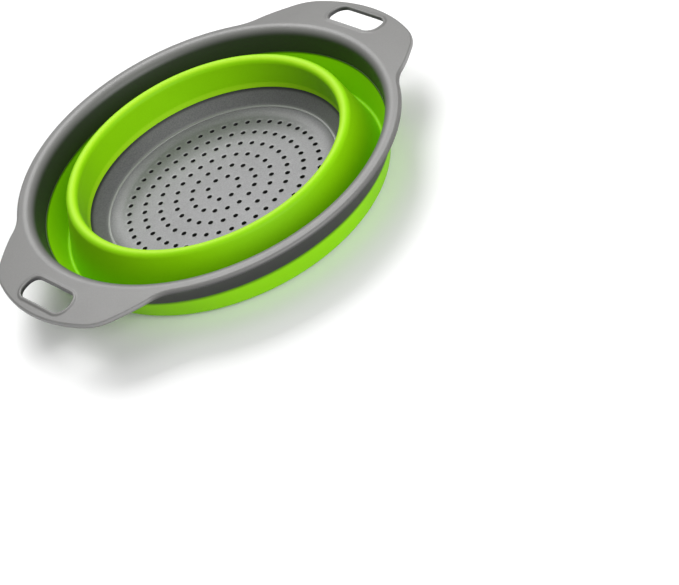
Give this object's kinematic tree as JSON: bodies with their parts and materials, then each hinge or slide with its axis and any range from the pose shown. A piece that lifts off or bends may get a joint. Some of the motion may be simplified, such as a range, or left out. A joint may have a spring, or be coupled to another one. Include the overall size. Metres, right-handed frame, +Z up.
{
  "type": "folding colander",
  "caption": "Round folding colander, folded flat: rigid rim with two slotted handles, soft wall that turns inside out to deepen the bowl, perforated strainer base.",
  "frame": {"origin": "on the bowl's axis, in the plane the foot ring stands on, folded flat", "axes": "+Z up out of the bowl, +X through both handles"},
  "size_m": [0.219, 0.1812, 0.0283],
  "materials": {
    "frame_plastic": "satin",
    "soft_wall": "satin elastomer",
    "base_plastic": "satin"
  },
  "bodies": {
    "strainer": {"base_ring": "base_plastic", "drain_plate": "base_plastic", "inner_wall": "soft_wall", "middle_wall": "soft_wall"},
    "rim": {"rim_frame": "frame_plastic", "outer_wall": "soft_wall"}
  },
  "joints": [
    {"name": "bowl_lift", "type": "slide", "parent": "strainer", "child": "rim", "axis": [0, 0, 1], "range_m": [0, 0.042], "deforming": ["middle_wall"]}
  ]
}
